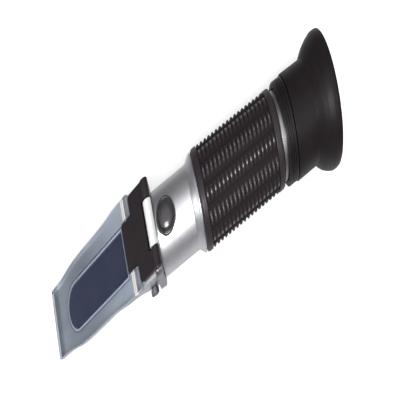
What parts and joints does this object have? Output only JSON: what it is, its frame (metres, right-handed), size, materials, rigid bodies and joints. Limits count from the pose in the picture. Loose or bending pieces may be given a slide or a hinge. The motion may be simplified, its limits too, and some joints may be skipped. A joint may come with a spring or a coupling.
{
  "type": "refractometer",
  "caption": "Hand-held refractometer: wedge prism head under a hinged clear plate, aluminium tube with a ribbed rubber grip, screw-adjusted zero and a focusing eyepiece with rubber eyecup.",
  "frame": {"origin": "centre of the flat underside of the prism housing", "axes": "+X along the optical axis from the prism to the eye, +Z away from the underside, out of the prism face side, +Y to the left when looking along +X"},
  "size_m": [0.1632, 0.0392, 0.0392],
  "materials": {
    "housing_metal": "satin, fine blasted",
    "prism_glass": "polished",
    "cement": "matte",
    "polished_steel": "polished",
    "steel": "brushed",
    "black_plastic": "fine moulded grain",
    "clear_plastic": "clear, glossy",
    "tube_metal": "satin anodised",
    "grip_rubber": "ribbed, satin",
    "brass": "turned",
    "cap_rubber": "satin",
    "black_metal": "black anodised, matte",
    "lens_glass": "polished",
    "bright_ring": "turned bright",
    "ring_black": "turned, glossy black",
    "cup_rubber": "satin"
  },
  "bodies": {
    "tube": {"prism_housing": "housing_metal", "main_prism": "prism_glass", "prism_seal": "cement", "hinge_block": "polished_steel", "housing_screw_left": "steel", "housing_screw_right": "steel", "body_tube": "tube_metal", "grip_sleeve": "grip_rubber", "calibration_bush": "brass", "bimetal_strip": "brass", "bimetal_screw": "steel", "light_baffle": "black_metal", "eyepiece_barrel": "bright_ring", "reticle_ring": "black_metal", "reticle_glass": "lens_glass", "guide_screw": "steel"},
    "cover": {"cover_leaf": "black_plastic", "hinge_pin": "steel", "plate_pin": "steel"},
    "plate": {"daylight_plate": "clear_plastic"},
    "cap": {"calibration_cap": "cap_rubber"},
    "carriage": {"lens_carriage": "black_metal", "objective_lens": "lens_glass", "objective_ring": "black_metal"},
    "screw": {"calibration_screw": "brass"},
    "cell": {"lens_cell": "black_metal", "field_lens": "lens_glass", "lens_spacer": "black_metal", "eye_lens": "lens_glass", "lens_retaining_ring": "black_metal"},
    "eyepiece": {"focus_ring": "ring_black", "cell_retainer": "black_metal", "eyecup": "cup_rubber"}
  },
  "joints": [
    {"name": "cover_hinge", "type": "hinge", "parent": "tube", "child": "cover", "pos_m": [0.03, 0, 0.0303], "axis": [0, 1, 0], "range_deg": [0, 150]},
    {"name": "plate_float", "type": "hinge", "parent": "cover", "child": "plate", "pos_m": [0.01796, 0, 0.02493], "axis": [0, 1, 0], "range_deg": [0, 3]},
    {"name": "cap_lift", "type": "slide", "parent": "tube", "child": "cap", "axis": [0, 0, 1], "range_m": [0, 0.003]},
    {"name": "carriage_shift", "type": "slide", "parent": "tube", "child": "carriage", "axis": [0, 0, 1], "range_m": [-0.0005, 0.0005]},
    {"name": "calibration_turn", "type": "hinge", "parent": "carriage", "child": "screw", "pos_m": [0.0376, 0, 0.0235], "axis": [0, 0, 1], "range_deg": [-360, 360]},
    {"name": "focus_travel", "type": "slide", "parent": "tube", "child": "cell", "axis": [1, 0, 0], "range_m": [-0.0015, 0.004]},
    {"name": "focus_turn", "type": "hinge", "parent": "cell", "child": "eyepiece", "pos_m": [0.1117, 0, 0.0135], "axis": [1, 0, 0], "range_deg": [-90, 240]}
  ],
  "couplings": [
    {"joint": "calibration_turn", "follows": "carriage_shift", "rad_per_m": 12566},
    {"joint": "focus_turn", "follows": "focus_travel", "rad_per_m": 1047.1}
  ]
}
